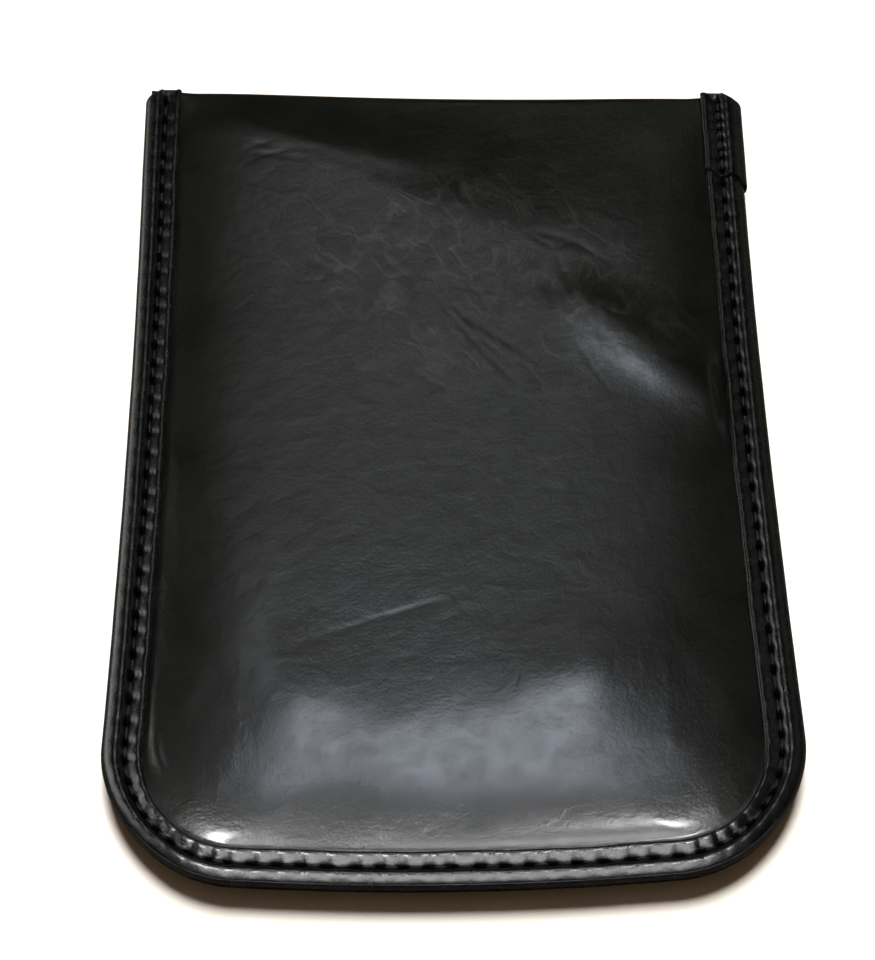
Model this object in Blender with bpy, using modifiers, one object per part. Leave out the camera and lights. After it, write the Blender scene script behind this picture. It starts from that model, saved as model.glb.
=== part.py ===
"""Neck pouch wallet: a flat leather pouch with bound sides and a rounded bottom, lying on its back.

The leather of the front rolls over the mouth and ends at a zip across the back. X is the width, Y runs from
the rounded bottom to the mouth and Z is up, out of the front. All sizes are in metres.
"""

from math import asin, ceil, cos, hypot, pi, radians, sin

import bmesh
import bpy
from mathutils import Euler, Vector

# Outline
WIDTH = 0.128
LENGTH = 0.1776  # from the mouth to the bottom edge, where the corners begin
CORNER_RADIUS = 0.0248
WAIST = 0.0011  # how far each side is pulled in halfway along
BOTTOM_BOW = 0.004  # how far the bottom edge bows out in the middle
MOUTH_PULL = 0.0013  # how far the middle of the mouth is pulled in
FOLD_DEPTH = 0.0025  # how far below the mouth its fold is measured

# Layers
LEATHER = 0.0008
LINING = 0.0003
TAPE = 0.0004
GAP = 0.0003

# Heights
SEAM_HEIGHT = 0.005  # the middle of the side seam above the table
MOUTH_LIFT = 0.0012  # how much higher the seam is at the mouth
MOUTH_LIFT_LENGTH = 0.06
FRONT_CROWN = 0.005  # how far the front swells above its edge
MOUTH_CROWN = 0.0011  # what is left of that swell at the mouth
MOUTH_TAPER = 0.045
FRONT_REACH = 0.018  # the width of the front's sloping margin
BACK_REACH = 0.012
BACK_REACH_AT_ZIP = 0.004
SHELF_HEIGHT = 0.0036  # the back's height at the zip and the rings, which prop it up
SHELF_RAMP = 0.036
SHELF_FLAT = 0.004  # the level stretch between that ramp and the zip

# Binding
BINDING_WIDTH = 0.0079
BINDING_BEAD = 0.0004  # how far its bead and its lip stand above the stitched groove
BINDING_ROUND = 0.0009  # the width of their rounded edges
BINDING_PROUD = 0.0007  # how far its ends stand past the mouth
STITCH_INSET = 0.0047
THREAD_RADIUS = 0.0003
THREAD_INSET = 0.001  # how far a thread stops short of the end of its seam
LAP_LENGTH = 0.020
LAP_OVERHANG = 0.0008

# Zip
ZIP_DROP = 0.028  # from the mouth to the middle of the zip
WINDOW_HALF = 0.005  # half of the slot in the leather that shows the zip
TAPE_EDGE = 0.0015  # from the middle of the zip to each tape
TAPE_REACH = 0.0105
ZIP_SEAM = 0.0068
COIL_THICKNESS = 0.0013
COIL_PITCH = 0.0024
COIL_TOOTH = 0.0009
COIL_TIP = 0.0016
FIRST_TOOTH = 0.0006  # from the coil's end to its first tooth
COIL_SPINE = (0.0022, 0.0033)
SLIDER_LENGTH = 0.009
SLIDER_HALF_WIDTH = 0.0042
SLIDER_PLATE = 0.0007
SLIDER_ROUNDING = 0.0002
SLIDER_NOSE_X = 0.048  # where the closed slider's nose stands
SLIDER_TRAVEL = 0.087
POST_LENGTH = 0.003
POST_HALF_WIDTH = 0.0011
POST_INSET = 0.0005  # from the slider's nose to the post
BRIDGE_HALF_LENGTH = 0.0022
BRIDGE_HALF_WIDTH = 0.0012
BRIDGE_STRIP = 0.0007
BRIDGE_CHAMFER = 0.0005
BRIDGE_OFFSET = 0.001  # how far the bridge stands behind the slider's middle
PULL_THICKNESS = 0.0008
PULL_LENGTH = 0.0195
PULL_HALF_WIDTH = 0.003
PULL_EYE_LENGTH = 0.0034
PULL_EYE_PLAY = 0.0004
PULL_SHOULDER = 0.002
PULL_CORNER = 0.0015
STOP_LENGTH = 0.0015
STOP_ROUNDING = 0.0003

# Strap anchors
HANGER_X = 0.046
RING_DROP = 0.011  # from the mouth to the ring's bar
RING_WIRE_RADIUS = 0.0007
RING_HALF_WIDTH = 0.0062
RING_ARM = 0.002
RING_HEIGHT = 0.009
TAB_LEATHER = 0.0005
TAB_HALF_WIDTH = 0.005
TAB_LENGTH = 0.009
TAB_THREAD_RADIUS = 0.0002
TAB_SEAM_INSET = 0.001
REST_CLEARANCE = 0.0002  # what hangs free stops this far above the table

# Spacing of the sheets' columns and rows
COLUMN_STEP = 0.013
ROW_STEP = 0.0155
BACK_ROW_STEP = 0.0125

# Worked out from those
HALF = WIDTH / 2
MOUTH = LENGTH / 2
BOTTOM = -LENGTH / 2
LAYER_STEP = LEATHER + GAP
EDGE = LEATHER + 1.6 * GAP  # the inset of every layer that the binding wraps
FACE = 1.5 * GAP + LINING + LEATHER  # from the middle of the seam to the leather's outer face
BINDING_FACE = FACE + GAP + LEATHER
LAP_STEP = GAP + LEATHER
SHIFT_X = -LAP_STEP / 2
SHIFT_Y = (BOTTOM_BOW - BINDING_PROUD) / 2
ZIP_Y = MOUTH - ZIP_DROP
TAPE_OUTER_Z = SHELF_HEIGHT + LAYER_STEP
TAPE_INNER_Z = TAPE_OUTER_Z + TAPE
COIL_Z = TAPE_INNER_Z + GAP
COIL_TOP_Z = COIL_Z + COIL_THICKNESS
SLIDER_X = SLIDER_NOSE_X - SLIDER_LENGTH / 2
PULL_X = SLIDER_X - BRIDGE_OFFSET
OUTER_PLATE_Z = TAPE_OUTER_Z - GAP - SLIDER_PLATE
PULL_Z = OUTER_PLATE_Z - GAP - PULL_THICKNESS / 2
RING_Z = SHELF_HEIGHT - 2 * GAP - TAB_LEATHER - RING_WIRE_RADIUS
PULL_TILT = asin((PULL_Z - PULL_THICKNESS / 2 - REST_CLEARANCE) / PULL_LENGTH)
RING_TILT = asin((RING_Z - RING_WIRE_RADIUS - REST_CLEARANCE) / RING_HEIGHT)


def clear_scene():
    for obj in list(bpy.data.objects):
        bpy.data.objects.remove(obj, do_unlink=True)


def new_collection(name, is_helper=False):
    collection = bpy.data.collections.new(name)
    bpy.context.scene.collection.children.link(collection)
    collection.hide_render = is_helper
    return collection


def new_material(name, colour, roughness, metallic=0.0):
    material = bpy.data.materials.new(name)
    material.use_nodes = True
    shader = material.node_tree.nodes["Principled BSDF"]
    shader.inputs["Base Color"].default_value = (*colour, 1.0)
    shader.inputs["Roughness"].default_value = roughness
    shader.inputs["Metallic"].default_value = metallic
    return material


def make_materials():
    return {
        "leather": new_material("black_leather", (0.018, 0.019, 0.019), 0.34),
        "lining": new_material("black_lining", (0.03, 0.03, 0.032), 0.85),
        "tape": new_material("black_zip_tape", (0.022, 0.022, 0.024), 0.8),
        "coil": new_material("black_nylon", (0.02, 0.02, 0.021), 0.4),
        "thread": new_material("black_thread", (0.012, 0.012, 0.012), 0.6),
        "metal": new_material("nickel_plate", (0.56, 0.55, 0.53), 0.28, 1.0),
    }


def ease(t):
    t = min(max(t, 0.0), 1.0)
    return t * t * (3 - 2 * t)


def mix(low, high, t):
    return low + (high - low) * t


# The pouch's own coordinates are its outline before the corners are rounded: a across, b along.


def seam_height(b):
    return SEAM_HEIGHT + MOUTH_LIFT * ease(1 - (MOUTH - b) / MOUTH_LIFT_LENGTH)


def margin(distance, reach):
    """How far the surface has risen from its flat edge: 0 at the binding, 1 past the sloping margin."""
    return sin(min(max((distance - BINDING_WIDTH) / reach, 0.0), 1.0) * pi / 2)


def front_height(a, b):
    swell = mix(MOUTH_CROWN, FRONT_CROWN, ease((MOUTH - b) / MOUTH_TAPER))
    risen = margin(HALF - abs(a), FRONT_REACH) * margin(b - BOTTOM, FRONT_REACH)
    return seam_height(b) + FACE + swell * risen


def back_height(a, b):
    shelf = ease((b - (ZIP_Y - WINDOW_HALF - SHELF_RAMP)) / (SHELF_RAMP - SHELF_FLAT))
    reach = mix(BACK_REACH, BACK_REACH_AT_ZIP, shelf)
    sunk = margin(HALF - abs(a), reach) * margin(b - BOTTOM, BACK_REACH)
    return mix(seam_height(b) - FACE, SHELF_HEIGHT * shelf, sunk)


def shaped(a, b):
    """The world X and Y of a point, with the sides waisted and the bottom bowed."""
    along = min(max((b - BOTTOM) / LENGTH, 0.0), 1.0)
    x = a * (1 - WAIST / HALF * sin(pi * along))
    y = b - BOTTOM_BOW * (1 - (a / HALF) ** 2) * (1 - along) ** 2
    return x + SHIFT_X, y + SHIFT_Y


def on_plan(a, b):
    """The world X and Y of a point, with the corners rounded too."""
    out = abs(a) - (HALF - CORNER_RADIUS)
    down = BOTTOM + CORNER_RADIUS - b
    if out > 0 and down > 0:
        scale = max(out, down) / hypot(out, down)
        a = (HALF - CORNER_RADIUS + out * scale) * (1 if a > 0 else -1)
        b = BOTTOM + CORNER_RADIUS - down * scale
    return shaped(a, b)


def at(a, b, z):
    return Vector((*on_plan(a, b), z))


def fold_at(a):
    """The mouth's fold: where its round starts, the height of its axis and its radius."""
    near = MOUTH - FOLD_DEPTH
    radius = (front_height(a, near) - back_height(a, near)) / 2
    start = MOUTH - MOUTH_PULL * (1 - (a / HALF) ** 2) - radius
    top = front_height(a, start)
    bottom = back_height(a, start)
    return start, (top + bottom) / 2, (top - bottom) / 2


def front_point(a, row):
    """A point of the front leather's outer face. A row is a part of the sheet and a place in that part."""
    part, value = row
    start, axis_z, radius = fold_at(a)
    if part == "front":
        return at(a, value, front_height(a, value))
    if part == "fold":
        return at(a, start + radius * sin(value), axis_z + radius * cos(value))
    b = mix(start, value[0], value[1])
    return at(a, b, back_height(a, b))


def back_point(a, b):
    return at(a, b, back_height(a, b))


def stations(low, high, step):
    count = max(1, ceil((high - low) / step))
    return [mix(low, high, i / count) for i in range(count + 1)]


SLOPE_INSETS = [BINDING_WIDTH + FRONT_REACH * part for part in (0, 0.15, 0.35, 0.6)]
MARGIN_INSETS = [EDGE, STITCH_INSET, *SLOPE_INSETS, CORNER_RADIUS]
ACROSS = (
    [inset - HALF for inset in MARGIN_INSETS]
    + stations(CORNER_RADIUS - HALF, HALF - CORNER_RADIUS, COLUMN_STEP)[1:-1]
    + [HALF - inset for inset in reversed(MARGIN_INSETS)]
)
UP_FROM_BOTTOM = [BOTTOM + inset for inset in MARGIN_INSETS]


def finish(obj, collection, material, smooth_angle=35):
    for other in list(obj.users_collection):
        other.objects.unlink(obj)
    collection.objects.link(obj)
    obj.data.materials.clear()
    obj.data.materials.append(material)
    if obj.type == "MESH":
        obj.data.shade_smooth()
        obj.data.set_sharp_from_angle(angle=radians(smooth_angle))
    return obj


def add_sheet(name, columns, rows, place, outer, thickness, faces_down=False):
    """A leather, lining or tape sheet: a grid laid on the pouch's outer face, then given its thickness.

    The sheet starts at the depth outer below that face, so sheets with one grid nest in each other.
    """
    bm = bmesh.new()
    bmesh.ops.create_grid(bm, x_segments=len(columns) - 1, y_segments=len(rows) - 1, size=1)
    for vert in bm.verts:
        i = round((vert.co.x + 1) / 2 * (len(columns) - 1))
        j = round((vert.co.y + 1) / 2 * (len(rows) - 1))
        vert.co = place(columns[i], rows[j])
    if faces_down:
        bmesh.ops.reverse_faces(bm, faces=bm.faces)
    mesh = bpy.data.meshes.new(name)
    bm.to_mesh(mesh)
    bm.free()
    obj = bpy.data.objects.new(name, mesh)
    solidify = obj.modifiers.new("Thickness", "SOLIDIFY")
    solidify.thickness = thickness
    solidify.offset = -(2 * outer + thickness) / thickness
    solidify.use_even_offset = True
    return obj


def add_tube(name, points, radius, cyclic=False, resolution=1):
    curve = bpy.data.curves.new(name, "CURVE")
    curve.dimensions = "3D"
    curve.bevel_depth = radius
    curve.bevel_resolution = resolution
    curve.use_fill_caps = True
    spline = curve.splines.new("POLY")
    spline.points.add(len(points) - 1)
    for point, place in zip(spline.points, points):
        point.co = (*place, 1)
    spline.use_cyclic_u = cyclic
    return bpy.data.objects.new(name, curve)


def add_plate(name, outline, thickness):
    """A flat plate of the given outline in its own XY plane, centred on that plane."""
    curve = bpy.data.curves.new(name, "CURVE")
    curve.dimensions = "2D"
    curve.fill_mode = "BOTH"
    curve.extrude = thickness / 2
    for loop in outline:
        spline = curve.splines.new("POLY")
        spline.points.add(len(loop) - 1)
        for point, (x, y) in zip(spline.points, loop):
            point.co = (x, y, 0, 1)
        spline.use_cyclic_u = True
    return bpy.data.objects.new(name, curve)


def to_mesh_object(obj, collection):
    """The object as a welded mesh, which a Boolean can use."""
    collection.objects.link(obj)
    bpy.context.view_layer.update()
    evaluated = obj.evaluated_get(bpy.context.evaluated_depsgraph_get())
    mesh = bpy.data.meshes.new_from_object(evaluated)
    bm = bmesh.new()
    bm.from_mesh(mesh)
    bmesh.ops.remove_doubles(bm, verts=bm.verts, dist=1e-6)
    bmesh.ops.recalc_face_normals(bm, faces=bm.faces)
    bm.to_mesh(mesh)
    bm.free()
    name = obj.name
    matrix = obj.matrix_world.copy()
    bpy.data.objects.remove(obj, do_unlink=True)
    result = bpy.data.objects.new(name, mesh)
    result.matrix_world = matrix
    return result


def add_box(name, low, high, bevel=0.0):
    bm = bmesh.new()
    bmesh.ops.create_cube(bm, size=1)
    for vert in bm.verts:
        vert.co = Vector(mix(low[k], high[k], vert.co[k] + 0.5) for k in range(3))
    mesh = bpy.data.meshes.new(name)
    bm.to_mesh(mesh)
    bm.free()
    obj = bpy.data.objects.new(name, mesh)
    if bevel:
        rounding = obj.modifiers.new("Rounding", "BEVEL")
        rounding.width = bevel
        rounding.segments = 2
    return obj


def unite(obj, others, cutters):
    for other in others:
        cutters.objects.link(other)
        other.hide_render = True
        other.display_type = "WIRE"
        joint = obj.modifiers.new("Join " + other.name, "BOOLEAN")
        joint.operation = "UNION"
        joint.object = other
    return obj


def make_front(parts, looks):
    straight = stations(BOTTOM + CORNER_RADIUS, MOUTH - FRONT_REACH / 1.5, ROW_STEP)
    front = [("front", b) for b in UP_FROM_BOTTOM + straight[1:]]
    fold = [("fold", pi * i / 6) for i in range(7)]

    def rows(end):
        return front + fold + [("strip", (end, t)) for t in (0.35, 0.7, 1.0)]

    panel = add_sheet("front_panel", ACROSS, rows(ZIP_Y + WINDOW_HALF), front_point, 0, LEATHER)
    finish(panel, parts, looks["leather"])
    lining_rows = rows(ZIP_Y + TAPE_REACH + GAP)
    lining = add_sheet("front_lining", ACROSS, lining_rows, front_point, LAYER_STEP, LINING)
    finish(lining, parts, looks["lining"])


def make_back(parts, looks):
    def rows(end):
        return UP_FROM_BOTTOM + stations(BOTTOM + CORNER_RADIUS, end, BACK_ROW_STEP)[1:]

    panel_rows = rows(ZIP_Y - WINDOW_HALF)
    panel = add_sheet("back_panel", ACROSS, panel_rows, back_point, 0, LEATHER, faces_down=True)
    finish(panel, parts, looks["leather"])
    lining_rows = rows(ZIP_Y - TAPE_REACH - GAP)
    lining = add_sheet(
        "back_lining", ACROSS, lining_rows, back_point, LAYER_STEP, LINING, faces_down=True
    )
    finish(lining, parts, looks["lining"])


def rim_path(start_b, end_b):
    """Stations round the sides and the bottom, as (side, value) pairs for rim_point."""
    straight = BOTTOM + CORNER_RADIUS
    left = [("left", b) for b in reversed(stations(straight, start_b, ROW_STEP))]
    turn = [pi / 2 * i / 8 for i in range(1, 8)]
    first = [("left_corner", angle) for angle in turn]
    ends = (CORNER_RADIUS - HALF, HALF - CORNER_RADIUS)
    across = [("bottom", a) for a in stations(*ends, COLUMN_STEP)]
    second = [("right_corner", angle) for angle in turn]
    right = [("right", b) for b in stations(straight, end_b, ROW_STEP)]
    return left + first + across + second + right


def rim_point(inset, rise, station):
    """A point at this inset from the outline, and this far above the middle of the seam."""
    side, value = station
    radius = CORNER_RADIUS - inset
    centre_a = HALF - CORNER_RADIUS
    centre_b = BOTTOM + CORNER_RADIUS
    if side == "left":
        a, b = inset - HALF, value
    elif side == "right":
        a, b = HALF - inset, value
    elif side == "bottom":
        a, b = value, BOTTOM + inset
    elif side == "left_corner":
        a, b = -centre_a - radius * cos(value), centre_b - radius * sin(value)
    else:
        a, b = centre_a + radius * sin(value), centre_b - radius * cos(value)
    return Vector((*shaped(a, b), seam_height(b) + rise))


def binding_profile(step, inner):
    """The folded strip's outer face, as (inset, rise) pairs from its front edge round to its back edge.

    step moves the face out for a second layer, and inner is the inset of both edges.
    """
    face = BINDING_FACE + step
    crest = face + BINDING_BEAD
    top = [
        (inner, face),
        (inner - BINDING_ROUND, crest),
        (STITCH_INSET + BINDING_ROUND, crest),
        (STITCH_INSET, face),
        (STITCH_INSET - BINDING_ROUND, crest),
        (2 * BINDING_ROUND - step / 2, crest),
        (BINDING_ROUND - step, face),
        (BINDING_ROUND / 4 - step, 0.7 * face),
        (-step, 0.3 * face),
    ]
    return top + [(inset, -rise) for inset, rise in reversed(top)]


def add_binding(name, profile, path):
    return add_sheet(name, profile, path, lambda pair, station: rim_point(*pair, station), 0, LEATHER)


def make_binding(parts, looks):
    end = MOUTH + BINDING_PROUD
    binding = add_binding("edge_binding", binding_profile(0, BINDING_WIDTH), rim_path(end, end))
    finish(binding, parts, looks["leather"])

    lap_path = [("right", b) for b in stations(MOUTH - LAP_LENGTH, end, LAP_LENGTH / 2)]
    lap = add_binding(
        "binding_end_lap", binding_profile(LAP_STEP, BINDING_WIDTH + LAP_OVERHANG), lap_path
    )
    finish(lap, parts, looks["leather"])

    top = MOUTH - THREAD_INSET
    stitched = rim_path(top, MOUTH - LAP_LENGTH - THREAD_INSET)
    lap_stations = stations(MOUTH - LAP_LENGTH + THREAD_INSET, top, LAP_LENGTH / 2)
    lap_stitched = [("right", b) for b in lap_stations]
    for face, sign in (("front", 1), ("back", -1)):
        rise = sign * (BINDING_FACE + GAP + THREAD_RADIUS)
        thread = add_tube(
            "binding_thread_" + face,
            [rim_point(STITCH_INSET, rise, station) for station in stitched],
            THREAD_RADIUS,
        )
        finish(thread, parts, looks["thread"])
        thread = add_tube(
            "lap_thread_" + face,
            [rim_point(STITCH_INSET, rise + sign * LAP_STEP, station) for station in lap_stitched],
            THREAD_RADIUS,
        )
        finish(thread, parts, looks["thread"])


def zip_point(x, y, z):
    """A point by its distance from the middle of the zip, in world axes."""
    return Vector((x, ZIP_Y + SHIFT_Y + y, z))


def make_tapes(parts, looks):
    for name, side in (("upper", 1), ("lower", -1)):
        rows = sorted(ZIP_Y + side * reach for reach in (TAPE_EDGE, WINDOW_HALF, TAPE_REACH))
        name = "zipper_tape_" + name
        tape = add_sheet(name, ACROSS, rows, back_point, LAYER_STEP, TAPE, faces_down=True)
        finish(tape, parts, looks["tape"])


def coil_outline(first_tooth, low_x, high_x, spine_end_x):
    """Half of the coil: a spine with square teeth that reach just past the middle of the zip."""
    near, far = COIL_SPINE
    loop = [(spine_end_x, near), (spine_end_x, far), (low_x, far), (low_x, near)]
    x = low_x + first_tooth
    while x + COIL_TOOTH < high_x:
        loop += [(x, near), (x, -COIL_TIP), (x + COIL_TOOTH, -COIL_TIP), (x + COIL_TOOTH, near)]
        x += COIL_PITCH
    return loop


def make_coils(parts, looks):
    low_x = SLIDER_NOSE_X - SLIDER_LENGTH - SLIDER_TRAVEL - GAP
    high_x = SLIDER_NOSE_X - POST_INSET - POST_LENGTH - GAP
    halves = (("upper", 1, FIRST_TOOTH), ("lower", -1, FIRST_TOOTH + COIL_PITCH / 2))
    for name, side, first in halves:
        outline = coil_outline(first, low_x, high_x, SLIDER_NOSE_X - GAP)
        coil = add_plate("zipper_coil_" + name, [[(x, side * y) for x, y in outline]], COIL_THICKNESS)
        coil.location = zip_point(0, 0, COIL_Z + COIL_THICKNESS / 2)
        finish(coil, parts, looks["coil"])

        stop_x = SLIDER_NOSE_X + GAP
        stop = add_box(
            "zipper_top_stop_" + name,
            zip_point(stop_x, min(side * TAPE_EDGE, side * COIL_SPINE[1]), COIL_Z),
            zip_point(stop_x + STOP_LENGTH, max(side * TAPE_EDGE, side * COIL_SPINE[1]), COIL_TOP_Z),
            STOP_ROUNDING,
        )
        finish(stop, parts, looks["metal"])

    bottom_stop = add_box(
        "zipper_bottom_stop",
        zip_point(low_x - GAP - STOP_LENGTH, -COIL_SPINE[1], COIL_Z),
        zip_point(low_x - GAP, COIL_SPINE[1], COIL_TOP_Z),
        STOP_ROUNDING,
    )
    finish(bottom_stop, parts, looks["metal"])


def make_zip_threads(parts, looks):
    drop = Vector((0, 0, GAP + TAB_THREAD_RADIUS))
    inner = [a for a in ACROSS if abs(a) < HALF - BINDING_WIDTH - GAP]
    for name, side in (("upper", 1), ("lower", -1)):
        seam = [back_point(a, ZIP_Y + side * ZIP_SEAM) - drop for a in inner]
        thread = add_tube("zipper_thread_" + name, seam, TAB_THREAD_RADIUS)
        finish(thread, parts, looks["thread"])


def arch_outline():
    """The slider's bridge from the side, its feet sunk in the plate: along X, then down from the plate."""
    outer = BRIDGE_HALF_LENGTH
    inner = outer - BRIDGE_STRIP
    room = 2 * GAP + PULL_THICKNESS
    low = room + BRIDGE_STRIP
    chamfer = BRIDGE_CHAMFER
    foot = -SLIDER_PLATE / 2
    return [
        (-outer, foot),
        (-outer, low - chamfer),
        (-outer + chamfer, low),
        (outer - chamfer, low),
        (outer, low - chamfer),
        (outer, foot),
        (inner, foot),
        (inner, room),
        (-inner, room),
        (-inner, foot),
    ]


def make_slider(parts, looks, cutters):
    half_length = SLIDER_LENGTH / 2
    inner_plate_z = COIL_TOP_Z + GAP
    post_end = half_length - POST_INSET
    origin = zip_point(SLIDER_X, 0, OUTER_PLATE_Z)
    drop = inner_plate_z - OUTER_PLATE_Z
    slider = add_box(
        "zipper_slider",
        (-half_length, -SLIDER_HALF_WIDTH, 0),
        (half_length, SLIDER_HALF_WIDTH, SLIDER_PLATE),
        SLIDER_ROUNDING,
    )
    slider.location = origin
    pieces = [
        add_box(
            "slider_inner_plate",
            (-half_length, -SLIDER_HALF_WIDTH, drop),
            (half_length, SLIDER_HALF_WIDTH, drop + SLIDER_PLATE),
        ),
        add_box(
            "slider_post",
            (post_end - POST_LENGTH, -POST_HALF_WIDTH, SLIDER_PLATE / 2),
            (post_end, POST_HALF_WIDTH, drop + SLIDER_PLATE / 2),
        ),
    ]
    for side in (-1, 1):
        near, far = sorted((side * (COIL_SPINE[1] + GAP), side * SLIDER_HALF_WIDTH))
        pieces.append(
            add_box(
                "slider_flange_left" if side < 0 else "slider_flange_right",
                (-half_length, near, TAPE_INNER_Z + GAP - OUTER_PLATE_Z),
                (half_length, far, drop + SLIDER_PLATE / 2),
            )
        )
    arch = add_plate("slider_bridge", [arch_outline()], 2 * BRIDGE_HALF_WIDTH)
    arch.rotation_euler = Euler((-pi / 2, 0, 0))
    arch.location = Vector((PULL_X - SLIDER_X, 0, 0))
    arch = to_mesh_object(arch, cutters)
    pieces.append(arch)
    for piece in pieces:
        piece.location = origin + piece.location
    unite(slider, pieces, cutters)
    finish(slider, parts, looks["metal"])


def make_pull(parts, looks):
    """A flat pull whose end bar turns in the slider's bridge. Its origin is on that bar's axis."""
    bar = PULL_THICKNESS / 2
    eye_half = BRIDGE_HALF_WIDTH + PULL_EYE_PLAY
    arm_half = eye_half + PULL_THICKNESS
    shoulder = bar + PULL_EYE_LENGTH + PULL_SHOULDER
    corner = PULL_CORNER
    tip = PULL_LENGTH
    outline = [
        (-bar, -arm_half),
        (bar + PULL_EYE_LENGTH, -arm_half),
        (shoulder, -PULL_HALF_WIDTH),
        (tip - corner, -PULL_HALF_WIDTH),
        (tip, corner - PULL_HALF_WIDTH),
        (tip, PULL_HALF_WIDTH - corner),
        (tip - corner, PULL_HALF_WIDTH),
        (shoulder, PULL_HALF_WIDTH),
        (bar + PULL_EYE_LENGTH, arm_half),
        (-bar, arm_half),
    ]
    eye = [
        (bar, -eye_half),
        (bar + PULL_EYE_LENGTH, -eye_half),
        (bar + PULL_EYE_LENGTH, eye_half),
        (bar, eye_half),
    ]
    pull = add_plate("zipper_pull", [outline, eye], PULL_THICKNESS)
    pull.location = zip_point(PULL_X, 0, PULL_Z)
    pull.rotation_euler = Euler((0, PULL_TILT, pi))
    finish(pull, parts, looks["metal"])


def ring_points():
    """The ring's wire: a straight bar, two short arms and a round end."""
    points = [Vector((-RING_HALF_WIDTH, 0, 0)), Vector((RING_HALF_WIDTH, 0, 0))]
    steps = 12
    for i in range(steps + 1):
        turn = pi * i / steps
        points.append(
            Vector((RING_HALF_WIDTH * cos(turn), RING_ARM + (RING_HEIGHT - RING_ARM) * sin(turn), 0))
        )
    return points


def tab_profile():
    """The tab's outer face: along the pouch, round the ring's bar and back, as (Y, Z) from that bar."""
    bend = RING_WIRE_RADIUS + GAP + TAB_LEATHER
    base = bend - 2 * TAB_LEATHER - GAP
    half = -TAB_LENGTH / 2
    round_bar = [(bend * sin(pi * i / 6), bend * cos(pi * i / 6)) for i in range(7)]
    return [(-TAB_LENGTH, bend), (half, bend)] + round_bar + [(half, base), (-TAB_LENGTH, base)]


def make_hanger(name, x, parts, looks):
    """A tab of thin leather sewn on the back, and the ring that turns in its fold."""
    bar = Vector((x, MOUTH + SHIFT_Y - RING_DROP, RING_Z))
    ring = add_tube("d_ring_" + name, ring_points(), RING_WIRE_RADIUS, cyclic=True, resolution=2)
    ring.location = bar
    ring.rotation_euler = Euler((-RING_TILT, 0, 0))
    finish(ring, parts, looks["metal"])

    tab = add_sheet(
        "hanger_tab_" + name,
        tab_profile(),
        (-TAB_HALF_WIDTH, 0, TAB_HALF_WIDTH),
        lambda pair, across: Vector((across, *pair)),
        0,
        TAB_LEATHER,
        faces_down=True,
    )
    tab.location = bar
    finish(tab, parts, looks["leather"])

    low = TAB_SEAM_INSET - TAB_LENGTH
    high = -(TAB_LENGTH + TAB_SEAM_INSET) / 2
    side = TAB_HALF_WIDTH - TAB_SEAM_INSET
    depth = tab_profile()[-1][1] - GAP - TAB_THREAD_RADIUS
    corners = ((-side, low), (side, low), (side, high), (-side, high))
    seam = [Vector((*corner, depth)) for corner in corners]
    thread = add_tube("hanger_thread_" + name, seam, TAB_THREAD_RADIUS, cyclic=True)
    thread.location = bar
    finish(thread, parts, looks["thread"])


def main():
    clear_scene()
    parts = new_collection("neck_pouch_wallet")
    cutters = new_collection("joining_shapes", is_helper=True)
    looks = make_materials()
    make_front(parts, looks)
    make_back(parts, looks)
    make_binding(parts, looks)
    make_tapes(parts, looks)
    make_coils(parts, looks)
    make_zip_threads(parts, looks)
    make_slider(parts, looks, cutters)
    make_pull(parts, looks)
    make_hanger("left", -HANGER_X, parts, looks)
    make_hanger("right", HANGER_X, parts, looks)


main()
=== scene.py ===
"""The looks of a flat leather neck pouch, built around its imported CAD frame.

X is the pouch's width, Y runs from its rounded bottom to its mouth and Z is up, out of its front. All sizes
are in metres. Places on the pouch are given as (a, b): a across from its middle, b along it, before the sides
are waisted and the bottom is bowed.
"""

from math import cos, pi, radians, sin

import bpy
import numpy as np
from mathutils import Matrix, Vector


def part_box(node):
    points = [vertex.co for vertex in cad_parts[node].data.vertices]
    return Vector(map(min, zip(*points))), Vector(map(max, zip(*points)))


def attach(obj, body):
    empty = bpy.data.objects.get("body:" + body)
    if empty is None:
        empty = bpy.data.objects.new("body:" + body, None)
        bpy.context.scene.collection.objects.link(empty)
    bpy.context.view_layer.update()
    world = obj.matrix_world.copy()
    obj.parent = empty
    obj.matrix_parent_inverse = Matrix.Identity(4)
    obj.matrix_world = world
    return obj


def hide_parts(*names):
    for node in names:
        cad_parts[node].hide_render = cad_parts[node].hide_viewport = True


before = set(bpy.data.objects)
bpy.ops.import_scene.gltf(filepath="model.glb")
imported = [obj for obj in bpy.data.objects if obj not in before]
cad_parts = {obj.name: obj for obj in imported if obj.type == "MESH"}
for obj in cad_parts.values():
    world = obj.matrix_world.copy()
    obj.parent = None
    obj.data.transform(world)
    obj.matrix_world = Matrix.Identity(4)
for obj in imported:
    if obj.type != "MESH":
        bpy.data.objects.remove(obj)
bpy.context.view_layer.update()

RIM_LOW, RIM_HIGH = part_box("edge_binding")

# Outline
CENTRE_X = (RIM_LOW.x + RIM_HIGH.x) / 2
HALF = (RIM_HIGH.x - RIM_LOW.x) / 2
BOTTOM_BOW = 0.004
BOTTOM = RIM_LOW.y + BOTTOM_BOW
MOUTH = RIM_HIGH.y + 0.0005
STRIP_SHORT = 0.0012
LENGTH = MOUTH - BOTTOM
CORNER_RADIUS = 0.0248
WAIST = 0.0011
MOUTH_PULL = 0.0020
MOUTH_SLANT = 0.0022
SLANT_LENGTH = 0.024

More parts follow.
